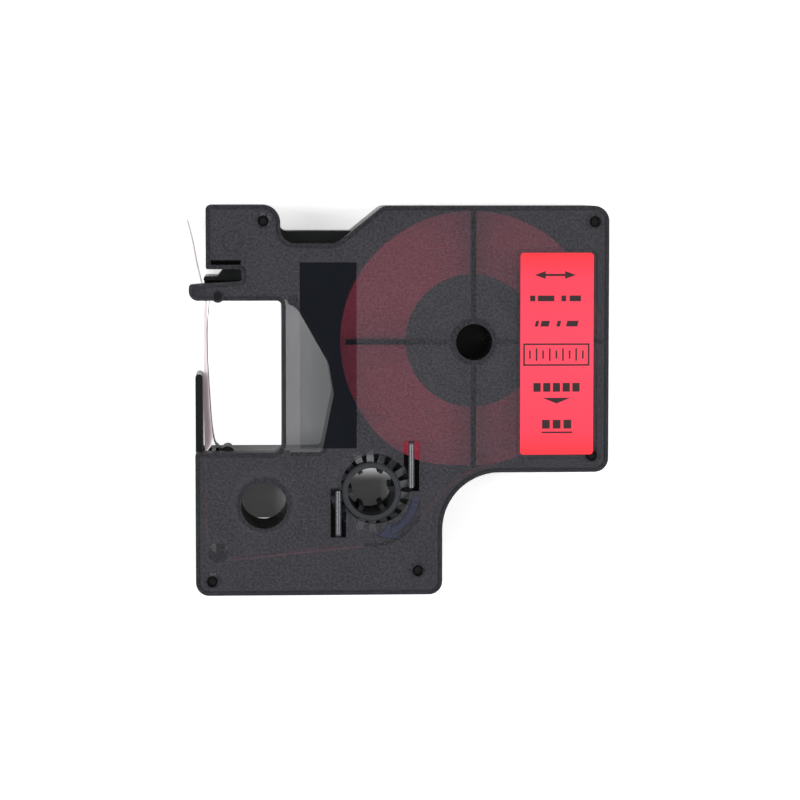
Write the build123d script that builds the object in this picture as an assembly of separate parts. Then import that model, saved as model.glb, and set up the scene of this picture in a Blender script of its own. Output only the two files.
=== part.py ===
from build123d import *
import math
import os

# A label tape cassette: a black rear case and a smoky front cover that hold a reel of label tape,
# a supply and a take-up of ink ribbon, and the run of both past an open window for the print head.
# Millimetres. The cassette lies on its rear face at z = 0 with its cover up. The origin is on the
# reel's axis, +X is away from the window and +Y is towards the head block.

# Case
case_thickness = 17.5
wall = 0.8
rear_floor = 1.2
cover_plate = 1.3
seam_height = 12.25
rim_width = 0.9
rim_drop = 0.3
overhang_lip = 1.2
seat_gap = 0.08
free_gap = 0.3

# Label tape and its reel
tape_width = 6.0
tape_thickness = 0.2
tape_roll_radius = 24.6
tape_core_radius = 13.0
core_hub_radius = 9.0
core_hub_rise = 1.8
reel_bore_radius = 3.53
reel_post_wall = 1.07
roll_side_gap = 0.9
roll_top_gap = 1.0
roll_foot_gap = 0.05
bay_corner_gap = 0.4
bay_corner_radius = 11.2
tape_gap = 0.06
tape_arm_gap = 0.25
tape_lead = 3.1
tail_radius = 60.0
tail_sweep = 18.2

# Ink ribbon
ribbon_width = 6.5
ribbon_thickness = 0.1
supply_place = (-40.8, -31.7)
supply_bore_radius = 4.5
supply_post_wall = 0.9
supply_core_wall = 0.95
supply_core_height = 9.0
supply_roll_radius = 7.6
take_up_place = (-19.9, -29.1)
take_up_wound_radius = 7.0
film_gap = 0.15

# Take-up spool
spool_bore_radius = 4.65
spool_wall = 1.1
spool_sink = 0.2
spline_count = 6
first_spline = 2.0
spline_reach = 1.0
spline_width = 0.95
spline_lead = 4.5
flange_radius = 8.0
flange_thickness = 0.7
tooth_count = 18
first_tooth = 12.0
tooth_height = 2.6
tooth_ramp = 0.5
spool_opening_gap = 0.13
spool_opening_shift = (0.7, 0.6)

# Anti-reverse fingers, cut free from the cover on three sides
finger_width = 1.1
finger_slit = 0.95
finger_length = 9.1
finger_tip_slit = 0.6
finger_tip_radius = 0.45
nib_length = 1.3
nib_gap = 0.2
root_gap = 0.06
left_finger_root = (-26.4, -38.0)
right_finger_root = (-12.15, -19.3)

# Outline of the case
lobe_bottom = -49.3
left_edge = -54.1
lobe_top = -21.4
window_right = -37.3
arm_bottom = 8.1
arm_tip = -55.2
arm_tip_top = 11.2
notch_right = -45.0
notch_low = 11.9
notch_high = 14.2
block_left = -51.9
block_right = -37.5
block_top = 26.6
recess_floor = 19.1
ramp_foot = -26.6
ramp_head = -17.6

# Where the rear case parts from the cover's outline
bar_top = 21.5
bar_depth = 3.3
rear_arm_inset = 1.7
rear_arm_top = 12.7
notch_web = (-49.7, -48.5)
head_bay = [
    (-36.2, 8.1, 0.6),
    (-34.0, 6.1, 1.0),
    (-28.2, -4.2, 2.0),
    (-27.2, -10.1, 3.0),
    (-29.5, -21.4, 1.0),
]
guard_width = 1.4
guard_length = 15.0
tape_slot_width = 1.7
ribbon_slot_width = 1.3
post_clearance = 1.0

# Guides for the tape and the ribbon
lower_post = (-47.9, -21.9)
arm_post = (-49.6, 9.0)
inner_post = (-35.1, 8.2)
guide_post_radius = 1.1
arm_pin_radius = 0.78
arm_pin_gap = 0.04
arm_boss_radius = 1.28
corner_post = (-49.7, -41.0)
corner_post_radius = 2.0
nose_place = (-27.0, -7.6)
nose_radius = 1.5
bay_post = (-24.0, -14.9)
bay_post_radius = 1.8
guide_rib_radius = 10.95
guide_rib_from = -98.0
guide_rib_to = -28.0

# Studs of the rear case in sockets of the cover
bay_studs = [(23.5, 23.3), (23.0, -22.2)]
other_studs = [(-50.9, -46.5), (-10.9, -44.6), (-40.8, 23.5)]
boss_radius = 1.8
stud_radius = 0.7
stud_sides = 6
socket_radius = 1.1
stud_recess = 0.8

# Ribs
cross_rib = 1.0
rib_gap = 0.35
lobe_rib = 0.8
left_lobe_rib = (-52.3, -36.8)
foot_lobe_rib = (-34.3, -45.0)

# Face of the cover
label_corner_place = (9.0, -22.0)
label_width = 14.3
label_height = 39.3
label_rounding = 0.7
label_margin = 0.7
label_recess = 0.25
label_thickness = 0.12
view_corner_place = (-33.8, -20.6)
view_width = 11.0
view_height = 36.1
view_rounding = 0.8
view_recess = 0.15
arrow_radius = 8.95
arrow_width = 1.5
arrow_from = -14.0
arrow_to = -54.0
arrow_head_sweep = 13.0
arrow_head_width = 3.4
arrow_height = 0.2
head_slot_place = (-48.05, 15.5)
head_slot_size = (5.8, 0.9)
dimple_place = (-46.7, 19.6)
dimple_radius = 2.1
dimple_depth = 0.3
gate_place = (-14.1, -0.3)
gate_radius = 0.9
gate_depth = 0.3

# Worked out from the above
cover_base = case_thickness - cover_plate
cover_rim = case_thickness - rim_drop
mid_height = (rear_floor + cover_base) / 2
tape_low = mid_height - tape_width / 2
tape_high = mid_height + tape_width / 2
core_hub_high = tape_high + core_hub_rise
ribbon_low = mid_height - ribbon_width / 2
ribbon_high = mid_height + ribbon_width / 2
bay_right = tape_roll_radius + roll_side_gap + wall
bay_top = tape_roll_radius + roll_top_gap + wall
bay_bottom = -(tape_roll_radius + roll_foot_gap + wall)
corner_reach = tape_roll_radius + bay_corner_gap + wall + bay_corner_radius
corner_y = bay_bottom - bay_corner_radius
corner_x = math.sqrt(corner_reach**2 - corner_y**2)
lobe_right = corner_x - bay_corner_radius
reel_post_radius = reel_bore_radius + reel_post_wall
supply_post_radius = supply_bore_radius + supply_post_wall
supply_core_bore = supply_post_radius + seat_gap
supply_core_radius = supply_core_bore + supply_core_wall
spool_radius = spool_bore_radius + spool_wall
flange_low = ribbon_high + rib_gap
crown_low = flange_low + flange_thickness
crown_high = crown_low + tooth_height
spool_opening_radius = spool_radius + math.hypot(*spool_opening_shift) + spool_opening_gap
spool_opening = (
    take_up_place[0] + spool_opening_shift[0],
    take_up_place[1] + spool_opening_shift[1],
)
stud_places = bay_studs + other_studs
rear_arm_left = left_edge + rear_arm_inset
tape_slot = (left_edge + guard_width, left_edge + guard_width + tape_slot_width)
ribbon_slot = (lower_post[0] - post_clearance - ribbon_slot_width, lower_post[0] - post_clearance)
arm_slot = (rear_arm_left, arm_post[0] + arm_boss_radius)
tape_leave = (rear_arm_left - tape_arm_gap, arm_bottom - tape_lead)

cover_corners = [
    (bay_right, bay_top, 3.0),
    (bay_right, bay_bottom, 2.7),
    (lobe_right, bay_bottom, bay_corner_radius),
    (lobe_right, lobe_bottom, 2.6),
    (left_edge, lobe_bottom, 2.6),
    (left_edge, lobe_top, 0.6),
    (window_right, lobe_top, 1.9),
    (window_right, arm_bottom, 1.0),
    (arm_tip, arm_bottom, 1.8),
    (arm_tip, arm_tip_top, 0.6),
    (notch_right, notch_low, 0.5),
    (notch_right, notch_high, 0.5),
    (block_left, notch_high, 0.4),
    (block_left, block_top, 0.9),
    (block_right, block_top, 3.4),
    (block_right, recess_floor, 3.0),
    (ramp_foot, recess_floor, 3.5),
    (ramp_head, bay_top, 2.0),
]
ramp_slope = (bay_top - recess_floor) / (ramp_head - ramp_foot)
bar_right = ramp_foot + (bar_top - recess_floor) / ramp_slope
rear_corners = [
    *cover_corners[:5],
    (left_edge, lobe_top, 0.4),
    *reversed(head_bay),
    (rear_arm_left, arm_bottom, 0.5),
    (rear_arm_left, rear_arm_top, 0.5),
    (notch_web[0], rear_arm_top, 0.2),
    (notch_web[1], notch_high, 0.2),
    (block_left, notch_high, 0.4),
    (block_left, block_top, 0.9),
    (block_right, block_top, 3.4),
    (block_right, bar_top, 1.2),
    (bar_right, bar_top, 1.0),
    (ramp_head, bay_top, 2.0),
]


def outline(corners):
    """A closed face through corners of (x, y, radius)."""
    points = [(x, y) for x, y, _ in corners]
    radii = [radius for _, _, radius in corners]
    return Sketch() + make_face(FilletPolyline(*points, radius=radii, close=True))


def slab(face, low, high):
    return Pos(0, 0, low) * extrude(face, amount=high - low, dir=(0, 0, 1))


def post(place, radius, low, high):
    return slab(Pos(*place) * Circle(radius), low, high)


def tube(place, outer, inner, low, high):
    return slab(Pos(*place) * (Circle(outer) - Circle(inner)), low, high)


def block(left, right, bottom, top, low, high):
    middle = Pos((left + right) / 2, (bottom + top) / 2)
    return slab(middle * Rectangle(right - left, top - bottom), low, high)


def polar(place, radius, angle):
    return (
        place[0] + radius * math.cos(math.radians(angle)),
        place[1] + radius * math.sin(math.radians(angle)),
    )


def arc_band(place, inner, outer, start, end):
    """A face between two radii about a place, from one angle to another."""
    middle = (start + end) / 2
    return Sketch() + make_face(
        [
            ThreePointArc(*(polar(place, outer, angle) for angle in (start, middle, end))),
            Line(polar(place, outer, end), polar(place, inner, end)),
            ThreePointArc(*(polar(place, inner, angle) for angle in (end, middle, start))),
            Line(polar(place, inner, start), polar(place, outer, start)),
        ]
    )


def film_side(guides, shift):
    """One side of a film that runs straight between round guides and bends round each one.

    A guide is (x, y, radius, turn), where turn is 1 anticlockwise or -1 clockwise. The film starts
    where it leaves the first guide and ends where it meets the last one.
    """
    shifted = [((x, y), radius - shift * turn, turn) for x, y, radius, turn in guides]
    headings = []
    for (start, r1, turn1), (end, r2, turn2) in zip(shifted, shifted[1:]):
        lean = math.asin((turn2 * r2 - turn1 * r1) / math.dist(start, end))
        headings.append(math.degrees(math.atan2(end[1] - start[1], end[0] - start[0]) - lean))

    def touch(guide, heading):
        place, radius, turn = guide
        return polar(place, radius, heading - 90 * turn)

    edges = []
    for index, heading in enumerate(headings):
        if index:
            before = headings[index - 1]
            turn = shifted[index][2]
            bend = (heading - before) * turn % 360 * turn
            stops = (before, before + bend / 2, before + bend)
            edges.append(ThreePointArc(*(touch(shifted[index], stop) for stop in stops)))
        edges.append(Line(touch(shifted[index], heading), touch(shifted[index + 1], heading)))
    return edges


def film(guides, thickness, low, high):
    """A thin strip on edge along its guides."""
    left = film_side(guides, thickness / 2)
    right = film_side(guides, -thickness / 2)
    ends = [Line(left[0] @ 0, right[0] @ 0), Line(left[-1] @ 1, right[-1] @ 1)]
    return slab(Sketch() + make_face([*left, *right, *ends]), low, high)


def case_ring(corners, low, high):
    face = outline(corners)
    return slab(face - offset(face, amount=-wall, kind=Kind.INTERSECTION), low, high)


def make_rear_case():
    case = slab(outline(rear_corners), 0, rear_floor)
    case += case_ring(rear_corners, rear_floor, seam_height)
    case += slab(outline(rear_corners), rear_floor, seam_height) & block(
        notch_web[0] - wall, notch_right + wall, rear_arm_top - wall, notch_high + wall,
        rear_floor, seam_height,
    )
    case += rear_head_wall()
    case += rear_bar_and_guard()
    case += rear_ribs()
    case += rear_posts()
    case -= post(supply_place, supply_bore_radius, 0, case_thickness)
    case -= post(take_up_place, spool_radius + seat_gap, 0, case_thickness)
    case -= post((0, 0), reel_bore_radius, rear_floor, case_thickness)
    for slot in (tape_slot, ribbon_slot):
        case -= block(*slot, lobe_top - 2 * wall, lobe_top + wall, ribbon_low - rib_gap, seam_height)
    case -= block(*arm_slot, arm_bottom - wall, arm_bottom + wall, ribbon_low - rib_gap, seam_height)
    case -= block(
        rear_arm_left - wall, rear_arm_left + wall, arm_bottom, rear_arm_top - wall,
        ribbon_low - rib_gap, seam_height,
    )
    return case + guide_posts()


def rear_head_wall():
    """The wall between the head bay and the films, up to the cover."""
    bay_ring = case_ring(rear_corners, rear_floor, cover_base)
    reach = block(
        window_right + 2 * wall, nose_place[0] + nose_radius, lobe_top - wall, arm_bottom - wall,
        rear_floor, cover_base,
    )
    nose = post(nose_place, nose_radius, rear_floor, cover_base)
    nose &= slab(outline(rear_corners), rear_floor, cover_base)
    return (bay_ring & reach) + nose


def rear_bar_and_guard():
    """The bar across the head recess, and the guard beside the tape."""
    bar = block(block_right - wall, bar_right, bar_top - bar_depth, bar_top, rear_floor, seam_height)
    bar &= slab(outline(rear_corners), rear_floor, seam_height)
    guard_top = lobe_top + guard_length - guard_width / 2
    guard = block(left_edge, left_edge + guard_width, lobe_top - wall, guard_top, 0, seam_height)
    tip = post((left_edge + guard_width / 2, guard_top), guard_width / 2, 0, seam_height)
    return bar + guard + tip


def rear_ribs():
    """Cross ribs under the reel, and stiffeners in the lobe."""
    half = cross_rib / 2
    inner_left = nose_place[0] + nose_radius + 2 * free_gap
    ribs = block(inner_left, bay_right - wall, -half, half, rear_floor, tape_low - rib_gap - free_gap)
    ribs += block(-half, half, bay_bottom + wall, bay_top - wall, rear_floor, tape_low - rib_gap - free_gap)
    x, y = left_lobe_rib
    ribs += block(left_edge + wall, x, y - lobe_rib / 2, y + lobe_rib / 2, rear_floor, seam_height)
    x, y = foot_lobe_rib
    ribs += block(x - lobe_rib / 2, x + lobe_rib / 2, lobe_bottom + wall, y, rear_floor, seam_height)
    guide = arc_band(
        take_up_place, guide_rib_radius - lobe_rib, guide_rib_radius, guide_rib_from, guide_rib_to
    )
    return ribs + slab(guide, rear_floor, cover_base)


def rear_posts():
    """The hollow posts of the reel and the supply, and the studs on their bosses."""
    posts = post((0, 0), reel_post_radius, rear_floor, cover_base)
    posts += post(supply_place, supply_post_radius, rear_floor, cover_base)
    for place in stud_places:
        for radius, low, high in (
            (boss_radius, rear_floor, cover_base),
            (stud_radius, cover_base, case_thickness - stud_recess),
        ):
            posts += slab(Pos(*place) * RegularPolygon(radius, stud_sides), low, high)
    return posts


def guide_posts():
    posts = post(lower_post, guide_post_radius, rear_floor, seam_height)
    posts += post(arm_post, guide_post_radius, rear_floor, seam_height)
    posts += post(arm_post, arm_pin_radius, seam_height, case_thickness)
    posts += post(inner_post, guide_post_radius, rear_floor, cover_base)
    posts += post(bay_post, bay_post_radius, rear_floor, cover_base)
    return posts + post(corner_post, corner_post_radius, rear_floor, cover_base)


def make_front_cover():
    face = outline(cover_corners)
    panel = offset(face, amount=-rim_width, kind=Kind.INTERSECTION)
    cover = slab(face, cover_base, cover_rim) + slab(panel, cover_rim, case_thickness)
    cover += cover_skirt()
    cover += cover_ribs()
    cover += slab(face, seam_height, cover_base) & block(
        arm_tip, rear_arm_left + wall, arm_bottom, arm_tip_top + wall, seam_height, cover_base
    )
    for place in stud_places:
        cover -= post(place, socket_radius, cover_base, case_thickness)
    cover += post(arm_post, arm_boss_radius, seam_height, case_thickness)
    cover -= post(arm_post, arm_pin_radius + arm_pin_gap, seam_height, case_thickness)
    cover += turn_arrow()
    cover -= cover_recesses()
    cover -= post((0, 0), reel_bore_radius, cover_base, case_thickness)
    cover -= post(supply_place, supply_bore_radius, cover_base, case_thickness)
    cover -= post(spool_opening, spool_opening_radius, cover_base, case_thickness)
    for root, side in ((left_finger_root, 1), (right_finger_root, -1)):
        cover -= finger_slot(root, side)
    return cover


def cover_skirt():
    """The cover's wall, cut back to a lip where it hangs over the open head bay."""
    skirt = case_ring(cover_corners, seam_height, cover_base)
    skirt -= block(
        window_right - wall, window_right + 2 * wall, lobe_top + wall, arm_bottom - wall,
        seam_height, cover_base - overhang_lip,
    )
    return skirt


def cover_ribs():
    """Cross ribs that keep the roll flat, shallower over the core's hub."""
    half = cross_rib / 2
    low = ribbon_high + rib_gap
    inner_left = nose_place[0] + nose_radius + 2 * free_gap
    ribs = block(inner_left, bay_right - wall, -half, half, low, cover_base)
    ribs += block(-half, half, bay_bottom + wall, bay_top - wall, low, cover_base)
    ribs -= post((0, 0), core_hub_radius + free_gap, low, core_hub_high + rib_gap)
    return ribs - post((0, 0), reel_post_radius + seat_gap, low, cover_base)


def turn_arrow():
    """A raised arrow about the spool that shows which way it winds."""
    half = arrow_width / 2
    shaft = arc_band(take_up_place, arrow_radius - half, arrow_radius + half, arrow_to, arrow_from)
    head = make_face(
        Polyline(
            polar(take_up_place, arrow_radius - arrow_head_width / 2, arrow_to),
            polar(take_up_place, arrow_radius + arrow_head_width / 2, arrow_to),
            polar(take_up_place, arrow_radius, arrow_to - arrow_head_sweep),
            close=True,
        )
    )
    return slab(shaft + head, case_thickness - rim_drop, case_thickness + arrow_height)


def cover_recesses():
    """Shallow recesses for the label, the polished view and the gate, and the head block's slot."""
    left, bottom = label_corner_place
    seat = Pos(left + label_width / 2, bottom + label_height / 2) * RectangleRounded(
        label_width + 2 * label_margin, label_height + 2 * label_margin, label_rounding + label_margin
    )
    cuts = slab(seat, case_thickness - label_recess, case_thickness)
    left, bottom = view_corner_place
    view = Pos(left + view_width / 2, bottom + view_height / 2) * RectangleRounded(
        view_width, view_height, view_rounding
    )
    cuts += slab(view, case_thickness - view_recess, case_thickness)
    cuts += slab(Pos(*head_slot_place) * Rectangle(*head_slot_size), cover_base, case_thickness)
    cuts += post(dimple_place, dimple_radius, case_thickness - dimple_depth, case_thickness)
    return cuts + post(gate_place, gate_radius, case_thickness - gate_depth, case_thickness)


def finger_slot(root, side):
    x, y = root
    half = finger_width / 2 + finger_slit
    tip = y + side * (finger_length + finger_tip_slit)
    bottom, top = sorted((y, tip))
    return block(x - half, x + half, bottom, top, cover_base, case_thickness)


def make_finger(root, side):
    """A flexing finger: rounded at its root, with a nib at its tip over the spool's crown."""
    x, y = root
    half = finger_width / 2
    root_radius = cover_plate / 2
    hinge_y = y + side * (root_gap + root_radius)
    tip = y + side * finger_length
    bottom, top = sorted((hinge_y, tip))
    finger = block(x - half, x + half, bottom, top, cover_base, case_thickness)
    corners = finger.edges().filter_by(Axis.Z).group_by(Axis.Y)[-1 if side > 0 else 0]
    finger = fillet(corners, finger_tip_radius)
    hinge = Pos(x, hinge_y, cover_base + root_radius) * Rot(0, 90, 0)
    finger += hinge * Cylinder(root_radius, finger_width)
    bottom, top = sorted((tip - side * nib_length, tip - side * finger_tip_radius))
    return finger + block(x - half, x + half, bottom, top, crown_high + nib_gap, cover_base)


def make_contents_label():
    left, bottom = label_corner_place
    face = Pos(left + label_width / 2, bottom + label_height / 2) * RectangleRounded(
        label_width, label_height, label_rounding
    )
    low = case_thickness - label_recess
    return slab(face, low, low + label_thickness)


def make_tape_core():
    """A rim that the tape is wound on, round a hub that stands proud of it on the cover's side."""
    core = post((0, 0), tape_core_radius, tape_low, tape_high)
    core += post((0, 0), core_hub_radius, tape_low, core_hub_high)
    return core - post((0, 0), reel_post_radius + seat_gap, tape_low, core_hub_high)


def make_tape_roll():
    return tube((0, 0), tape_roll_radius, tape_core_radius, tape_low, tape_high)


def make_supply_core():
    low = mid_height - supply_core_height / 2
    return tube(supply_place, supply_core_radius, supply_core_bore, low, low + supply_core_height)


def make_supply_roll():
    return tube(supply_place, supply_roll_radius, supply_core_radius, ribbon_low, ribbon_high)


def make_take_up_spool():
    """A splined tube with a flange and a crown of ratchet teeth under the cover."""
    spool = tube(take_up_place, spool_radius, spool_bore_radius, spool_sink, case_thickness)
    rim = spool.edges().filter_by(GeomType.CIRCLE).group_by(Axis.Z)[-1].sort_by(SortBy.RADIUS)[-1]
    spool = chamfer(rim, spool_wall / 4)
    spool += tube(take_up_place, flange_radius, spool_bore_radius, flange_low, crown_low)
    rest = rear_floor + seat_gap
    spool += tube(take_up_place, flange_radius, spool_bore_radius, rest, rest + flange_thickness)
    bar = Pos(spool_bore_radius, 0) * Rectangle(2 * spline_reach, spline_width)
    spline = slab(bar, spool_sink, case_thickness - spline_lead)
    spline &= post((0, 0), spool_bore_radius + spool_wall / 2, 0, case_thickness)
    tooth = ratchet_tooth()
    for shape, count, first in ((spline, spline_count, first_spline), (tooth, tooth_count, first_tooth)):
        for n in range(count):
            spool += Pos(*take_up_place) * Rot(0, 0, first + 360 * n / count) * shape
    return spool


def ratchet_tooth():
    """One crown tooth on the +X side: a ramp that rises to a steep back."""
    half = math.pi * flange_radius / tooth_count / 2
    side = make_face(
        Plane.YZ
        * Polyline(
            (-half, crown_low), (half, crown_low), (half, crown_high), (-half, crown_high - tooth_ramp),
            close=True,
        )
    )
    tooth = Pos(spool_radius - spool_wall / 2, 0, 0) * extrude(side, amount=flange_radius, dir=(1, 0, 0))
    return tooth & tube((0, 0), flange_radius, spool_radius - spool_wall / 2, crown_low, crown_high)


def make_taken_up_ribbon():
    return tube(take_up_place, take_up_wound_radius, spool_radius, ribbon_low, ribbon_high)


def tape_guides():
    half = tape_thickness / 2 + tape_gap
    return [
        (0, 0, tape_roll_radius + half, -1),
        (corner_x, corner_y, bay_corner_radius + wall + half, 1),
        (*take_up_place, guide_rib_radius + film_gap + tape_thickness / 2, -1),
        (*corner_post, corner_post_radius + film_gap + tape_thickness / 2, -1),
        (*tape_leave, 0, 1),
    ]


def make_tape_run():
    return film(tape_guides(), tape_thickness, tape_low, tape_high)


def make_tape_tail():
    """The free end past the arm, which curls away from the head block."""
    last = film_side(tape_guides(), 0)[-1]
    heading = math.degrees(math.atan2((last % 1).Y, (last % 1).X))
    centre = polar(tape_leave, tail_radius, heading + 90)
    band = arc_band(
        centre, tail_radius - tape_thickness / 2, tail_radius + tape_thickness / 2,
        heading - 90, heading - 90 + tail_sweep,
    )
    return slab(band, tape_low, tape_high)


def make_ribbon_run():
    half = ribbon_thickness / 2 + film_gap
    return film(
        [
            (*supply_place, supply_roll_radius + half, -1),
            (*lower_post, guide_post_radius + half, -1),
            (*arm_post, guide_post_radius + half, -1),
            (*inner_post, guide_post_radius + half, -1),
            (*nose_place, nose_radius + half, -1),
            (*bay_post, bay_post_radius + half, 1),
            (*take_up_place, take_up_wound_radius + half, -1),
        ],
        ribbon_thickness, ribbon_low, ribbon_high,
    )


parts = {
    "rear_case": make_rear_case(),
    "front_cover": make_front_cover(),
    "contents_label": make_contents_label(),
    "tape_core": make_tape_core(),
    "label_tape_roll": make_tape_roll(),
    "label_tape_run": make_tape_run(),
    "label_tape_tail": make_tape_tail(),
    "ribbon_supply_core": make_supply_core(),
    "ribbon_supply_roll": make_supply_roll(),
    "ribbon_run": make_ribbon_run(),
    "take_up_spool": make_take_up_spool(),
    "taken_up_ribbon": make_taken_up_ribbon(),
    "left_pawl_finger": make_finger(left_finger_root, 1),
    "right_pawl_finger": make_finger(right_finger_root, -1),
}
os.makedirs("parts", exist_ok=True)
for name, part in parts.items():
    export_step(part, f"parts/{name}.step")
    print(name, round(part.volume, 2))
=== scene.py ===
import math
import random

import bmesh
import bpy
from mathutils import Matrix, Vector


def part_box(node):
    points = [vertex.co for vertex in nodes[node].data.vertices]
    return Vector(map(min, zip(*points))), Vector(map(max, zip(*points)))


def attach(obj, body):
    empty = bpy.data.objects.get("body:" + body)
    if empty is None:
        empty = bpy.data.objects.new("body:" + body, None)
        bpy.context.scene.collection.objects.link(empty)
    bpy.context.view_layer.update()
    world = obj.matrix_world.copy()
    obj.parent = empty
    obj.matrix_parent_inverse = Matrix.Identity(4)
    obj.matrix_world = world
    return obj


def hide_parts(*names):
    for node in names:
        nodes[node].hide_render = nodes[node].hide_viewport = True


# Looks of a label tape cassette: a smoky cover over a black rear case, a reel of red tape seen
# through it, ribbon spools, and a red contents label with plain marks.
# Lengths in the dictionaries are millimetres in the frame of the CAD model.

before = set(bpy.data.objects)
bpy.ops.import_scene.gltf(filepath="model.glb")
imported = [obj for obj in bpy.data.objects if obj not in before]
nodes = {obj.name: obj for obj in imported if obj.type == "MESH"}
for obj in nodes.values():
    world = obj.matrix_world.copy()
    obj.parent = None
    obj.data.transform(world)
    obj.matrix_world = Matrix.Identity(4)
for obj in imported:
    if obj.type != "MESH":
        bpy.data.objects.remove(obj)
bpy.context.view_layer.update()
mm = 0.001
dice = random.Random(7)


def linear(code):
    # An sRGB hex colour as a linear one.
    shares = [int(code[i:i + 2], 16) / 255 for i in (1, 3, 5)]
    return (*[s / 12.92 if s <= 0.04045 else ((s + 0.055) / 1.055) ** 2.4 for s in shares], 1.0)


def addNode(tree, kind, inputs=None, out=0, stops=(), **settings):
    # A shader node with its settings, its inputs as values or as links from other sockets, and
    # the stops of its colour ramp. It gives back one of the node's outputs.
    node = tree.nodes.new("ShaderNode" + kind)
    for key, value in settings.items():
        setattr(node, key, value)
    for socket, value in (inputs or {}).items():
        if isinstance(value, bpy.types.NodeSocket):
            tree.links.new(value, node.inputs[socket])
        else:
            node.inputs[socket].default_value = value
    for index, (position, code) in enumerate(stops):
        elements = node.color_ramp.elements
        element = elements[index] if index < len(elements) else elements.new(position)
        element.position = position
        element.color = linear(code)
    return node.outputs[out] if len(node.outputs) else node


def startMaterial(name):
    # A new material, its tree, and the place in the object's own frame.
    material = bpy.data.materials.new(name)
    material.use_nodes = True
    tree = material.node_tree
    tree.nodes.clear()
    return material, tree, addNode(tree, "TexCoord", out="Object")


def finishMaterial(tree, inputs):
    shader = addNode(tree, "BsdfPrincipled", inputs, out="BSDF")
    addNode(tree, "OutputMaterial", {"Surface": shader})


def scaleOf(size):
    # The scale of a noise whose features are about size millimetres across.
    return 1 / (size * mm)


def insideBox(tree, place, left, bottom, width, height):
    # 1 inside a rectangle in plan, and 0 outside it.
    shares = []
    for axis, low, size in (("X", left, width), ("Y", bottom, height)):
        along = addNode(tree, "SeparateXYZ", {0: place}, out=axis)
        away = addNode(tree, "Math", {0: along, 1: (low + size / 2) * mm}, operation="SUBTRACT")
        away = addNode(tree, "Math", {0: away}, operation="ABSOLUTE")
        shares.append(addNode(tree, "Math", {0: away, 1: size / 2 * mm}, operation="LESS_THAN"))
    return addNode(tree, "Math", {0: shares[0], 1: shares[1]}, operation="MULTIPLY")


def planDistance(tree, place, x, y):
    # How far a place is from a point in plan, and the two parts of that way.
    parts, squares = [], []
    for axis, middle in (("X", x), ("Y", y)):
        along = addNode(tree, "SeparateXYZ", {0: place}, out=axis)
        part = addNode(tree, "Math", {0: along, 1: middle * mm}, operation="SUBTRACT")
        parts.append(part)
        squares.append(addNode(tree, "Math", {0: part, 1: part}, operation="MULTIPLY"))
    total = addNode(tree, "Math", {0: squares[0], 1: squares[1]}, operation="ADD")
    return addNode(tree, "Math", {0: total}, operation="SQRT"), *parts


cover = {
    "plateLow": 16.15, "steep": 0.6, "alpha": 0.38, "frost": 0.6, "grain": 0.45, "cloud": 6.0,
    "rough": 0.4, "smoother": 0.28,
    "polished": {"left": -33.8, "bottom": -20.6, "width": 11.0, "height": 36.1},
}
turnArrow = {
    "x": -19.9, "y": -29.1, "radius": 8.7, "half": 0.9, "barb": 1.9, "line": 0.22,
    "start": -9, "neck": -61, "tip": -84,
}


def arrowSheenAndShadeMasks(tree, place):
    # Masks for the moulded arrow round the take-up spool, which is painted on: 1 on the arrow, for its bluish
    # painted sheen, and 1 on its outline, for painted shade.
    way, across, along = planDistance(tree, place, turnArrow["x"], turnArrow["y"])
    angle = addNode(tree, "Math", {0: along, 1: across}, operation="ARCTAN2")
    away = addNode(tree, "Math", {0: way, 1: turnArrow["radius"] * mm}, operation="SUBTRACT")
    away = addNode(tree, "Math", {0: away}, operation="ABSOLUTE")
    start, neck, tip = (math.radians(turnArrow[key]) for key in ("start", "neck", "tip"))
    begun = addNode(tree, "Math", {0: angle, 1: start}, operation="LESS_THAN")
    shaft = addNode(tree, "Math", {0: angle, 1: neck}, operation="GREATER_THAN")
    shaft = addNode(tree, "Math", {0: begun, 1: shaft}, operation="MULTIPLY")
    shaft = addNode(tree, "Math", {0: shaft, 1: turnArrow["half"] * mm}, operation="MULTIPLY")
    share = addNode(tree, "Math", {0: angle, 1: tip}, operation="SUBTRACT")
    share = addNode(tree, "Math", {0: share, 1: neck - tip}, operation="DIVIDE")
    barb = addNode(tree, "Math", {0: angle, 1: neck}, operation="LESS_THAN")
    barb = addNode(tree, "Math", {0: barb, 1: share}, operation="MULTIPLY")
    barb = addNode(tree, "Math", {0: barb, 1: turnArrow["barb"] * mm}, operation="MULTIPLY")
    half = addNode(tree, "Math", {0: shaft, 1: barb}, operation="ADD")
    inner = addNode(tree, "Math", {0: half, 1: turnArrow["line"] * mm}, operation="SUBTRACT")
    inner = addNode(tree, "Math", {0: away, 1: inner}, operation="LESS_THAN")
    arrow = addNode(tree, "Math", {0: away, 1: half}, operation="LESS_THAN")
    return arrow, addNode(tree, "Math", {0: arrow, 1: inner}, operation="SUBTRACT")


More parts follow.
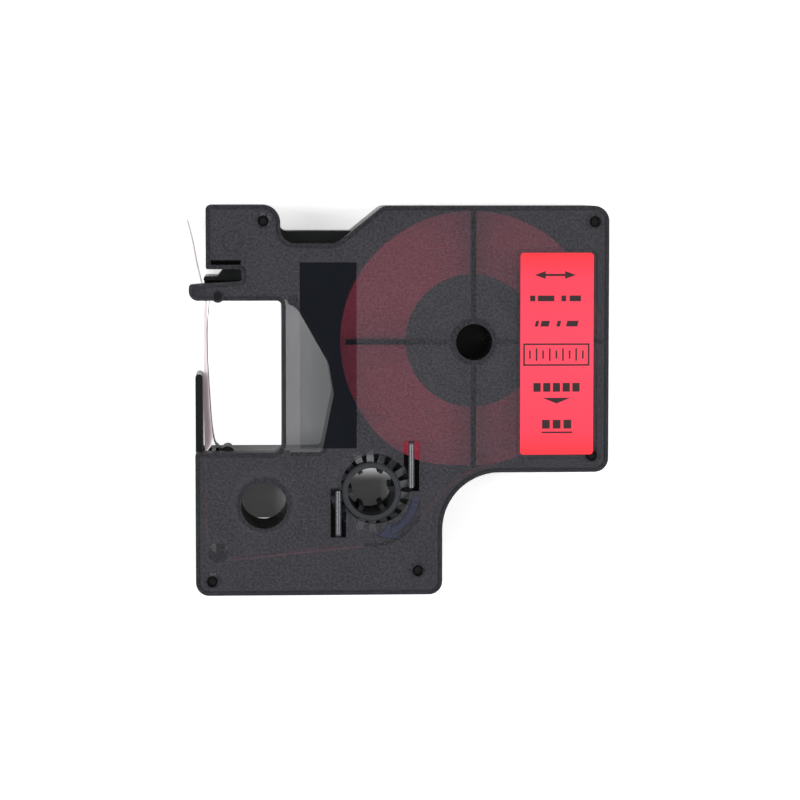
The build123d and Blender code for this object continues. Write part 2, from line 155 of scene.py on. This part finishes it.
def smokyStyrene():
    # Smoke-tinted clear styrene, injection moulded: a fine frost scatters grey light, and the
    # polished view, which has less of it, looks darker and clearer. The plate is thin enough to
    # see through. Its steep faces and the tall skirt and ribs below it are painted near black and
    # opaque, a painted shade that draws dark lines along the edges. The grain of the frost is drawn
    # a little coarser than it is, so that it shows.
    material, tree, place = startMaterial("smokyStyrene")
    polished = insideBox(tree, place, **cover["polished"])
    # The moulded arrow is not modelled: it is painted on, a bluish painted sheen with painted shade along its
    # outline.
    arrow, outline = arrowSheenAndShadeMasks(tree, place)
    height = addNode(tree, "SeparateXYZ", {0: place}, out="Z")
    # Painted shade: below the plate and on steep faces the cover is painted near black and opaque.
    paintedShadeMask = addNode(tree, "Math", {0: height, 1: cover["plateLow"] * mm}, operation="LESS_THAN")
    level = addNode(tree, "NewGeometry", out="True Normal")
    level = addNode(tree, "SeparateXYZ", {0: level}, out="Z")
    level = addNode(tree, "Math", {0: level}, operation="ABSOLUTE")
    steep = addNode(tree, "Math", {0: level, 1: cover["steep"]}, operation="LESS_THAN")
    paintedShadeMask = addNode(tree, "Math", {0: paintedShadeMask, 1: steep}, operation="MAXIMUM")
    inputs = {"Vector": place, "Scale": scaleOf(cover["grain"]), "Detail": 3.0}
    grain = addNode(tree, "TexNoise", inputs)
    cloud = addNode(tree, "TexNoise", {"Vector": place, "Scale": scaleOf(cover["cloud"])})
    frost = addNode(tree, "ValToRGB", {0: cloud}, stops=[(0.3, "#3e3f44"), (0.7, "#494850")])
    speckle = addNode(tree, "ValToRGB", {0: grain}, stops=[(0.35, "#222327"), (0.65, "#605f68")])
    inputs = {"Factor": cover["frost"], "A": frost, "B": speckle}
    face = addNode(tree, "Mix", inputs, out="Result", data_type="RGBA")
    # Layers over the frost: the polished view, the arrow's bluish painted sheen, painted shade along the
    # arrow's outline, and painted shade on the steep faces and below the plate.
    layers = [
        (polished, 1.0, "#1c2028"), (arrow, 0.55, "#444a6c"), (outline, 0.7, "#17181e"),
        (paintedShadeMask, 1.0, "#15161a"),
    ]
    for mask, share, code in layers:
        share = addNode(tree, "Math", {0: mask, 1: share}, operation="MULTIPLY")
        inputs = {"Factor": share, "A": face, "B": linear(code)}
        face = addNode(tree, "Mix", inputs, out="Result", data_type="RGBA")
    inputs = {0: polished, 1: -cover["smoother"], 2: cover["rough"]}
    rough = addNode(tree, "Math", inputs, operation="MULTIPLY_ADD")
    inputs = {0: paintedShadeMask, 1: 1 - cover["alpha"], 2: cover["alpha"]}
    finishMaterial(tree, {
        "Base Color": face,
        "Roughness": rough,
        "IOR": 1.59,
        "Alpha": addNode(tree, "Math", inputs, operation="MULTIPLY_ADD"),
        "Normal": addNode(tree, "Bump", {"Height": grain, "Distance": 0.05 * mm, "Strength": 0.35}),
    })
    return material


finger = {"rootBand": 0.5, "half": 0.45, "crown": 0.22, "grain": 0.3}


def fingerMiddle(mesh, rootAtTop):
    # The middle line of a finger, from the width of its root.
    ends = [vertex.co.y for vertex in mesh.vertices]
    root = max(ends) if rootAtTop else min(ends)
    band = finger["rootBand"] * mm
    sides = [vertex.co.x for vertex in mesh.vertices if abs(vertex.co.y - root) < band]
    return (min(sides) + max(sides)) / 2


def roundedStyrene(name, middle):
    # The smoky styrene where it is slim and rounded: dense and glossy, with a bright line along it.
    material, tree, place = startMaterial(name)
    across = addNode(tree, "SeparateXYZ", {0: place}, out="X")
    away = addNode(tree, "Math", {0: across, 1: middle}, operation="SUBTRACT")
    away = addNode(tree, "Math", {0: away, 1: finger["half"] * mm}, operation="DIVIDE")
    away = addNode(tree, "Math", {0: away, 1: away}, operation="MULTIPLY")
    crown = addNode(tree, "Math", {0: 1.0, 1: away}, operation="SUBTRACT")
    inputs = {"Vector": place, "Scale": scaleOf(finger["grain"]), "Detail": 3.0}
    grain = addNode(tree, "TexNoise", inputs)
    inputs = {"Height": crown, "Distance": finger["crown"] * mm, "Strength": 1.0}
    finishMaterial(tree, {
        "Base Color": addNode(tree, "ValToRGB", {0: grain}, stops=[(0.3, "#3a3b40"), (0.7, "#56575d")]),
        "Roughness": 0.24,
        "IOR": 1.59,
        "Normal": addNode(tree, "Bump", inputs),
    })
    return material


def mouldedPlastic(name, dark, light, rough, ior, size=0.3, depth=0.02):
    # Opaque plastic, injection moulded in a spark-eroded tool: an even colour with a fine texture
    # that breaks up the gloss.
    material, tree, place = startMaterial(name)
    inputs = {"Vector": place, "Scale": scaleOf(size), "Detail": 3.0}
    grain = addNode(tree, "TexNoise", inputs)
    finishMaterial(tree, {
        "Base Color": addNode(tree, "ValToRGB", {0: grain}, stops=[(0.3, dark), (0.7, light)]),
        "Roughness": rough,
        "IOR": ior,
        "Normal": addNode(tree, "Bump", {"Height": grain, "Distance": depth * mm, "Strength": 0.3}),
    })
    return material


def woundTape():
    # Red polyester tape wound on edge: each layer's edge catches the light a little differently,
    # and dust on the edges speckles it. The layers are drawn thicker than they are, to show.
    material, tree, place = startMaterial("woundTape")
    radius = planDistance(tree, place, 0.0, 0.0)[0]
    ringPlace = addNode(tree, "CombineXYZ", {"X": radius})
    rings = addNode(tree, "TexNoise", {"Vector": ringPlace, "Scale": scaleOf(0.4)})
    dust = addNode(tree, "TexNoise", {"Vector": place, "Scale": scaleOf(0.5), "Detail": 3.0})
    inputs = {
        "Factor": 0.35,
        "A": addNode(tree, "ValToRGB", {0: rings}, stops=[(0.3, "#be2c4b"), (0.7, "#da3e5f")]),
        "B": addNode(tree, "ValToRGB", {0: dust}, stops=[(0.35, "#a02440"), (0.65, "#e04a6a")]),
    }
    finishMaterial(tree, {
        "Base Color": addNode(tree, "Mix", inputs, out="Result", data_type="RGBA"),
        "Roughness": 0.4,
        "IOR": 1.57,
        "Normal": addNode(tree, "Bump", {"Height": rings, "Distance": 0.05 * mm, "Strength": 0.3}),
    })
    return material


def inkRibbon():
    # Thin polyester film coated with black wax ink: smooth, shiny and slightly rippled.
    material, tree, place = startMaterial("inkRibbon")
    ripple = addNode(tree, "TexNoise", {"Vector": place, "Scale": scaleOf(2.5)})
    finishMaterial(tree, {
        "Base Color": addNode(tree, "ValToRGB", {0: ripple}, stops=[(0.3, "#0f0f11"), (0.7, "#161618")]),
        "Roughness": 0.22,
        "IOR": 1.55,
        "Normal": addNode(tree, "Bump", {"Height": ripple, "Distance": 0.1 * mm, "Strength": 0.2}),
    })
    return material


def linerPaper():
    # The release paper on the back of the tape: pale, faintly pink from the red film behind it,
    # and thin. It has a painted glow, an emission that stands in for daylight coming through it.
    material, tree, place = startMaterial("linerPaper")
    fibres = addNode(tree, "TexNoise", {"Vector": place, "Scale": scaleOf(0.5), "Detail": 4.0})
    finishMaterial(tree, {
        "Base Color": addNode(tree, "ValToRGB", {0: fibres}, stops=[(0.3, "#d8ced0"), (0.7, "#e6dfe0")]),
        "Roughness": 0.5,
        "IOR": 1.5,
        # Painted glow: an emission that makes the paper lighter than the light falling on it would.
        "Emission Color": linear("#e6d4d8"),
        "Emission Strength": 0.24,
        "Normal": addNode(tree, "Bump", {"Height": fibres, "Distance": 0.01 * mm, "Strength": 0.2}),
    })
    return material


def tapeEdge():
    # The slit edge of the polyester tape inside the case, where only its deep red catches the light.
    material, tree, place = startMaterial("tapeEdge")
    layers = addNode(tree, "TexNoise", {"Vector": place, "Scale": scaleOf(0.8), "Detail": 3.0})
    finishMaterial(tree, {
        "Base Color": addNode(tree, "ValToRGB", {0: layers}, stops=[(0.3, "#8c2338"), (0.7, "#a83048")]),
        "Roughness": 0.4,
        "IOR": 1.57,
    })
    return material


labelPrint = {"bottom": -22.0, "height": 39.3, "grain": 0.15, "grainShare": 0.12}


def labelFilm():
    # Bright red printed and laminated film, a little deeper towards its two ends.
    material, tree, place = startMaterial("labelFilm")
    half = labelPrint["height"] / 2
    along = addNode(tree, "SeparateXYZ", {0: place}, out="Y")
    inputs = {0: along, 1: (labelPrint["bottom"] + half) * mm}
    away = addNode(tree, "Math", inputs, operation="SUBTRACT")
    away = addNode(tree, "Math", {0: away}, operation="ABSOLUTE")
    away = addNode(tree, "Math", {0: away, 1: half * mm}, operation="DIVIDE")
    stops = [(0.0, "#ff4860"), (0.75, "#ff4158"), (1.0, "#ff323c")]
    printed = addNode(tree, "ValToRGB", {0: away}, stops=stops)
    grain = addNode(tree, "TexNoise", {"Vector": place, "Scale": scaleOf(labelPrint["grain"])})
    share = addNode(tree, "Math", {0: grain, 1: labelPrint["grainShare"]}, operation="MULTIPLY")
    inputs = {"Factor": share, "A": printed, "B": linear("#ff3048")}
    finishMaterial(tree, {
        "Base Color": addNode(tree, "Mix", inputs, out="Result", data_type="RGBA"),
        "Roughness": 0.38,
        "IOR": 1.5,
        "Normal": addNode(tree, "Bump", {"Height": grain, "Distance": 0.005 * mm, "Strength": 0.2}),
    })
    return material


def printingInk():
    # Matt black screen-printing ink, with a little of the red under it.
    material, tree, place = startMaterial("printingInk")
    grain = addNode(tree, "TexNoise", {"Vector": place, "Scale": scaleOf(0.1)})
    finishMaterial(tree, {
        "Base Color": addNode(tree, "ValToRGB", {0: grain}, stops=[(0.3, "#1c0d10"), (0.7, "#2a1215")]),
        "Roughness": 0.5,
        "IOR": 1.5,
    })
    return material


paper = linerPaper()
ribbonFinish = inkRibbon()
leftMiddle = fingerMiddle(nodes["left_pawl_finger"].data, False)
rightMiddle = fingerMiddle(nodes["right_pawl_finger"].data, True)
finishes = {
    "rear_case": mouldedPlastic("blackStyrene", "#121314", "#191b1c", 0.2, 1.59, 0.25, 0.01),
    "front_cover": smokyStyrene(),
    "left_pawl_finger": roundedStyrene("roundedStyreneLeft", leftMiddle),
    "right_pawl_finger": roundedStyrene("roundedStyreneRight", rightMiddle),
    "contents_label": labelFilm(),
    "tape_core": mouldedPlastic("coreAcetal", "#222427", "#2a2c30", 0.45, 1.48),
    "label_tape_roll": woundTape(),
    "label_tape_run": paper,
    "label_tape_tail": paper,
    "ribbon_supply_core": mouldedPlastic("supplyAcetal", "#26282b", "#2e3033", 0.5, 1.48),
    "ribbon_supply_roll": ribbonFinish,
    "ribbon_run": ribbonFinish,
    "taken_up_ribbon": ribbonFinish,
    "take_up_spool": mouldedPlastic("spoolAcetal", "#2e3033", "#3a3c3f", 0.3, 1.48),
}
for name, material in finishes.items():
    mesh = nodes[name].data
    mesh.materials.clear()
    mesh.materials.append(material)
print("materials done")


def finishPiece(mesh, name, material, body):
    piece = bpy.data.objects.new(name, mesh)
    bpy.context.scene.collection.objects.link(piece)
    mesh.materials.append(material)
    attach(piece, body)
    return piece


# Printed marks on the contents label: a double arrow, rows of plain bars and a tick scale where
# such labels carry words, a frame, a triangle that points down and an underlined row.
marks = {
    "low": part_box("contents_label")[1].z / mm,
    "thickness": 0.01,
    "line": 0.3,
    "arrow": {"left": 11.8, "right": 19.8, "y": 13.0, "head": 2.1, "half": 0.75, "shaft": 0.42},
    "rows": [
        {"y": 7.9, "height": 1.1, "lean": 0.0, "bars": [(10.9, 1.0), (12.4, 3.2), (17.0, 0.9), (18.6, 2.2)]},
        {"y": 3.0, "height": 1.1, "lean": 0.25, "bars": [(11.8, 0.6), (12.9, 1.6), (16.0, 0.7), (17.9, 2.2)]},
        {
            "y": -9.7, "height": 1.7, "lean": 0.0,
            "bars": [(11.6, 1.4), (13.5, 1.4), (15.4, 1.4), (17.3, 1.4), (19.2, 1.4)],
        },
        {"y": -16.9, "height": 1.7, "lean": 0.0, "bars": [(13.3, 1.5), (15.4, 1.5), (17.5, 1.5)]},
    ],
    "frame": {"left": 9.6, "right": 22.5, "bottom": -4.65, "top": -0.3, "ticks": 9},
    "triangle": [(13.4, -10.9), (18.8, -10.9), (16.1, -12.0)],
    "underline": {"left": 13.2, "right": 19.2, "y": -17.8},
}


def addPlate(bm, outline, low, high):
    bottom = [bm.verts.new((x * mm, y * mm, low * mm)) for x, y in outline]
    top = [bm.verts.new((x * mm, y * mm, high * mm)) for x, y in outline]
    bm.faces.new(top)
    bm.faces.new(list(reversed(bottom)))
    count = len(outline)
    for i in range(count):
        j = (i + 1) % count
        bm.faces.new((bottom[i], bottom[j], top[j], top[i]))


def bar(left, bottom, width, height, lean=0.0):
    slide = lean * height
    top = bottom + height
    return [(left, bottom), (left + width, bottom), (left + width + slide, top), (left + slide, top)]


def arrowOutline(left, right, y, head, half, shaft):
    line = shaft / 2
    return [
        (left, y), (left + head, y - half), (left + head, y - line), (right - head, y - line),
        (right - head, y - half), (right, y), (right - head, y + half), (right - head, y + line),
        (left + head, y + line), (left + head, y + half),
    ]


def makeMarks(material):
    bm = bmesh.new()
    low, high, line = marks["low"], marks["low"] + marks["thickness"], marks["line"]
    outlines = [arrowOutline(**marks["arrow"]), list(reversed(marks["triangle"]))]
    for row in marks["rows"]:
        for left, width in row["bars"]:
            outlines.append(bar(left, row["y"], width, row["height"], row["lean"]))
    left, right, bottom, top, ticks = marks["frame"].values()
    for edge in (bottom, top - line):
        outlines.append(bar(left, edge, right - left, line))
    for x in (left, right - line):
        outlines.append(bar(x, bottom + line, line, top - bottom - 2 * line))
    pitch = (right - left) / (ticks + 1)
    for n in range(1, ticks + 1):
        tall = 1.6 if n % 2 else 2.4
        outlines.append(bar(left + n * pitch - line / 2, (bottom + top - tall) / 2, line, tall))
    under = marks["underline"]
    outlines.append(bar(under["left"], under["y"], under["right"] - under["left"], line))
    for outline in outlines:
        addPlate(bm, outline, low, high)
    mesh = bpy.data.meshes.new("labelMarks")
    bm.to_mesh(mesh)
    bm.free()
    return finishPiece(mesh, "labelMarks", material, "case")


makeMarks(printingInk())
print("label marks done")


# Tape and ribbon on edge, each on its way round the guides as (x, y, radius, turn), where turn is
# 1 anticlockwise. In the open window both hang slack: the tape leans towards the head and the
# ribbon bows beside its upper edge.
tapeWay = {
    "low": 5.7, "high": 11.7, "thickness": 0.2,
    "paperRight": -45.0, "paperFoot": -22.4,
    "guides": [
        (0, 0, 24.76, -1), (5.08, -36.65, 12.16, 1), (-19.9, -29.1, 11.2, -1),
        (-49.7, -41.0, 2.25, -1), (-52.2, -24.0, 0, 1),
    ],
    "window": [
        (-52.25, -22.6), (-52.4, -19.5), (-52.5, -13.0), (-52.5, -5.0), (-52.45, 3.0),
        (-52.3, 8.6), (-52.9, 11.5), (-53.75, 15.2), (-54.6, 19.7), (-55.6, 23.6),
    ],
    "lean": [
        (-22.0, 0.0), (-20.2, 1.4), (-18.5, 1.7), (-13.0, 1.25),
        (-5.0, 0.9), (3.0, 0.55), (8.0, 0.5), (12.0, 0.0),
    ],
    "leanRight": -50.0,
}
ribbonWay = {
    "low": 5.45, "high": 11.95, "thickness": 0.1,
    "before": [(-40.8, -31.7, 7.8, -1), (-47.9, -21.9, 1.3, -1), (-49.6, -20.8, 0, 1)],
    "window": [
        (-49.6, -20.8), (-50.45, -19.6), (-51.0, -15.6), (-51.4, -9.5),
        (-51.7, -3.0), (-51.75, 2.5), (-51.4, 7.2),
    ],
    "after": [
        (-51.4, 7.2, 0, 1), (-49.6, 9.0, 1.3, -1), (-35.1, 8.2, 1.3, -1),
        (-27.0, -7.6, 1.7, -1), (-24.0, -14.9, 2.0, 1), (-19.9, -29.1, 7.2, -1),
    ],
}


def onCircle(x, y, radius, angle):
    return x + radius * math.cos(angle), y + radius * math.sin(angle)


def beltLine(guides, step=math.radians(12)):
    # Points along a belt that runs straight between round guides and bends round each one.
    headings = []
    for (x1, y1, r1, t1), (x2, y2, r2, t2) in zip(guides, guides[1:]):
        lean = math.asin((t2 * r2 - t1 * r1) / math.hypot(x2 - x1, y2 - y1))
        headings.append(math.atan2(y2 - y1, x2 - x1) - lean)
    points = []
    for index, (x, y, radius, turn) in enumerate(guides):
        first = headings[max(index - 1, 0)]
        last = headings[min(index, len(headings) - 1)]
        bend = (last - first) * turn % math.tau * turn
        count = 1 + int(abs(bend) / step) if 0 < index < len(headings) and radius else 0
        for n in range(count + 1):
            angle = first + bend * n / max(count, 1) - turn * math.pi / 2
            points.append(onCircle(x, y, radius, angle))
    return points


def softPart(p, q, r, s, t):
    # One part of a place on a soft curve from q to r, with p before and s after them.
    bend = (2 * p - 5 * q + 4 * r - s) * t**2 + (3 * q - p - 3 * r + s) * t**3
    return 0.5 * (2 * q + (r - p) * t + bend)


def smoothLine(points, share=8):
    # Points on a soft curve through the given ones.
    ends = [points[0], *points, points[-1]]
    line = []
    for a, b, c, d in zip(ends, ends[1:], ends[2:], ends[3:]):
        for n in range(share):
            t = n / share
            line.append(tuple(softPart(p, q, r, s, t) for p, q, r, s in zip(a, b, c, d)))
    return [*line, points[-1]]


def valueAt(stops, y):
    # Straight interpolation between stops of (place, value).
    if y <= stops[0][0]:
        return stops[0][1]
    for (y1, v1), (y2, v2) in zip(stops, stops[1:]):
        if y <= y2:
            return v1 + (v2 - v1) * (y - y1) / (y2 - y1)
    return stops[-1][1]


def makeFilm(name, line, way, material):
    # A thin strip on edge along a line, whose upper edge may lean sideways in the window.
    clean = [line[0]]
    for point in line[1:]:
        if math.dist(point, clean[-1]) > 0.05:
            clean.append(point)
    bm = bmesh.new()
    rings = []
    for index, (x, y) in enumerate(clean):
        before = clean[max(index - 1, 0)]
        after = clean[min(index + 1, len(clean) - 1)]
        along = Vector((after[0] - before[0], after[1] - before[1])).normalized()
        side = Vector((along.y, -along.x)) * way["thickness"] / 2
        leans = "lean" in way and x < way["leanRight"]
        lean = valueAt(way["lean"], y) if leans else 0.0
        ring = []
        for sign, z, slide in ((-1, "low", 0), (1, "low", 0), (1, "high", lean), (-1, "high", lean)):
            spot = (x + sign * side.x + slide, y + sign * side.y, way[z])
            ring.append(bm.verts.new([part * mm for part in spot]))
        rings.append(ring)
    for one, two in zip(rings, rings[1:]):
        for i in range(4):
            j = (i + 1) % 4
            bm.faces.new((one[i], one[j], two[j], two[i]))
    bm.faces.new(list(reversed(rings[0])))
    bm.faces.new(rings[-1])
    bmesh.ops.recalc_face_normals(bm, faces=bm.faces)
    mesh = bpy.data.meshes.new(name)
    bm.to_mesh(mesh)
    bm.free()
    return finishPiece(mesh, name, material, "case")


tapeLine = beltLine(tapeWay["guides"])[:-1] + smoothLine(tapeWay["window"])
tapeFilm = makeFilm("tapeFilm", tapeLine, tapeWay, paper)
tapeFilm.data.materials.append(tapeEdge())
for face in tapeFilm.data.polygons:
    x, y = face.center.x / mm, face.center.y / mm
    inWindow = x < tapeWay["paperRight"] and y > tapeWay["paperFoot"]
    face.material_index = 0 if inWindow else 1
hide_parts("label_tape_run", "label_tape_tail")
ribbonLine = beltLine(ribbonWay["before"])[:-1] + smoothLine(ribbonWay["window"])[:-1]
ribbonLine += beltLine(ribbonWay["after"])
ribbonRun = makeFilm("ribbonFilm", ribbonLine, ribbonWay, ribbonFinish)
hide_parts("ribbon_run")
print("films done")


# The outermost turns of tape sit loose on the reel, most of all on the side of the ribbon.
looseTurns = {
    "inner": 24.62, "low": 5.72, "high": 11.68, "uneven": 0.02,
    "outer": [
        (-62, 24.66), (-45, 25.1), (-20, 25.35), (60, 25.38), (100, 25.35), (125, 25.35), (150, 25.6),
        (180, 25.8), (212, 25.85), (232, 26.1), (246, 25.7), (262, 24.7),
    ],
}


def makeLooseTurns(material):
    bm = bmesh.new()
    rings = []
    first, last = looseTurns["outer"][0][0], looseTurns["outer"][-1][0]
    for angle in range(first, last + 1, 2):
        uneven = dice.uniform(-looseTurns["uneven"], looseTurns["uneven"])
        outer = valueAt(looseTurns["outer"], angle) + uneven
        ring = []
        for radius, z in (("inner", "low"), (outer, "low"), (outer, "high"), ("inner", "high")):
            radius = looseTurns[radius] if radius == "inner" else radius
            x, y = onCircle(0, 0, radius, math.radians(angle))
            ring.append(bm.verts.new((x * mm, y * mm, looseTurns[z] * mm)))
        rings.append(ring)
    for one, two in zip(rings, rings[1:]):
        for i in range(4):
            j = (i + 1) % 4
            bm.faces.new((one[i], one[j], two[j], two[i]))
    bm.faces.new(list(reversed(rings[0])))
    bm.faces.new(rings[-1])
    bmesh.ops.recalc_face_normals(bm, faces=bm.faces)
    mesh = bpy.data.meshes.new("looseTurns")
    bm.to_mesh(mesh)
    bm.free()
    return finishPiece(mesh, "looseTurns", material, "case")


makeLooseTurns(finishes["label_tape_roll"])
print("loose turns done")


# A white floor. An emission for camera rays keeps it white to the eye beside the part and,
# stronger, in the open window, as a painted pool of light. Under the cover it is small, and in
# the bore of the spool it is a painted glow that grows towards +Y.
stage = {
    "half": 1500, "plain": 0.45, "open": 0.8, "dim": 0.03,
    "window": {"left": -53.5, "bottom": -21.5, "width": 16.2, "height": 31.5},
    "covered": [
        {"left": -52.0, "bottom": -36.0, "width": 40.0, "height": 14.5},
        {"left": -37.3, "bottom": -21.5, "width": 50.0, "height": 36.5},
    ],
    "bore": {"x": -19.9, "y": -29.1},
    "boreRadius": 5.2, "glow": 0.42, "glowLow": 0.2, "glowReach": 2.7,
}


def floorGain(tree, place):
    # How bright the floor looks beyond the light that falls on it.
    # Painted glow in the bore of the spool: it rises from dim to light grey towards +Y.
    way, across, along = planDistance(tree, place, **stage["bore"])
    rise = addNode(tree, "Math", {0: along, 1: stage["glowLow"] * mm}, operation="SUBTRACT")
    inputs = {0: rise, 1: stage["glowReach"] * mm}
    rise = addNode(tree, "Math", inputs, operation="DIVIDE", use_clamp=True)
    rise = addNode(tree, "Math", {0: rise, 1: rise}, operation="MULTIPLY")
    inBore = addNode(tree, "Math", {0: way, 1: stage["boreRadius"] * mm}, operation="LESS_THAN")
    inBore = addNode(tree, "Math", {0: inBore, 1: stage["glow"]}, operation="MULTIPLY")
    dim = addNode(tree, "Math", {0: rise, 1: inBore, 2: stage["dim"]}, operation="MULTIPLY_ADD")
    gain = stage["plain"]
    for box in stage["covered"]:
        change = addNode(tree, "Math", {0: dim, 1: gain}, operation="SUBTRACT")
        inputs = {0: insideBox(tree, place, **box), 1: change, 2: gain}
        gain = addNode(tree, "Math", inputs, operation="MULTIPLY_ADD")
    # A painted pool of light: the stronger gain in the open window.
    window = insideBox(tree, place, **stage["window"])
    inputs = {0: window, 1: stage["open"] - stage["plain"], 2: gain}
    return addNode(tree, "Math", inputs, operation="MULTIPLY_ADD")


def makeStage():
    mesh = bpy.data.meshes.new("floor")
    size = stage["half"] * mm
    corners = [(-size, -size, 0), (size, -size, 0), (size, size, 0), (-size, size, 0)]
    mesh.from_pydata(corners, [], [(0, 1, 2, 3)])
    floor = bpy.data.objects.new("floor", mesh)
    bpy.context.scene.collection.objects.link(floor)
    material, tree, place = startMaterial("paleFloor")
    gain = floorGain(tree, place)
    seen = addNode(tree, "LightPath", out="Is Camera Ray")
    finishMaterial(tree, {
        "Base Color": linear("#f6f6f6"),
        "Roughness": 0.9,
        "Specular IOR Level": 0.0,
        "Emission Color": linear("#ffffff"),
        "Emission Strength": addNode(tree, "Math", {0: seen, 1: gain}, operation="MULTIPLY"),
    })
    mesh.materials.append(material)


# Lamps at the four sides, as on a copy stand, with dark surroundings overhead.
lights = {
    "world": 0.1, "aim": (-14, -11, 10),
    "lamps": {
        "leftLamp": {"place": (-600, 0, 620), "size": (300, 700), "power": 4.3},
        "rightLamp": {"place": (600, 0, 620), "size": (300, 700), "power": 3.9},
        "headLamp": {"place": (0, 600, 620), "size": (700, 300), "power": 1.9},
        "footLamp": {"place": (0, -600, 620), "size": (700, 300), "power": 1.9},
    },
}


def makeLamp(name, place, size, power):
    lamp = bpy.data.lights.new(name, "AREA")
    lamp.shape = "RECTANGLE"
    lamp.size, lamp.size_y = (side * mm for side in size)
    lamp.energy = power
    holder = bpy.data.objects.new(name, lamp)
    bpy.context.scene.collection.objects.link(holder)
    holder.location = Vector(place) * mm
    holder.rotation_mode = "QUATERNION"
    holder.rotation_quaternion = (Vector(place) - Vector(lights["aim"])).to_track_quat("Z", "Y")


def makeLight():
    world = bpy.data.worlds.new("studio")
    world.use_nodes = True
    world.node_tree.nodes["Background"].inputs["Color"].default_value = linear("#ffffff")
    world.node_tree.nodes["Background"].inputs["Strength"].default_value = lights["world"]
    bpy.context.scene.world = world
    for name, lamp in lights["lamps"].items():
        makeLamp(name, **lamp)


view = {"eye": (-43.6, 31.6, 583.5), "aim": (-14.4, -11.2, 17.5), "sensor": 36, "lens": 131.8}


def makeCamera():
    data = bpy.data.cameras.new("camera")
    data.sensor_width = view["sensor"]
    data.lens = view["lens"]
    camera = bpy.data.objects.new("camera", data)
    bpy.context.scene.collection.objects.link(camera)
    eye = Vector(view["eye"]) * mm
    back = (eye - Vector(view["aim"]) * mm).normalized()
    right = Vector((0, 1, 0)).cross(back).normalized()
    turn = Matrix((right, back.cross(right), back)).transposed()
    camera.matrix_world = Matrix.Translation(eye) @ turn.to_4x4()
    bpy.context.scene.camera = camera


makeStage()
makeLight()
makeCamera()
bpy.context.scene.view_settings.view_transform = "Standard"
print("stage done")
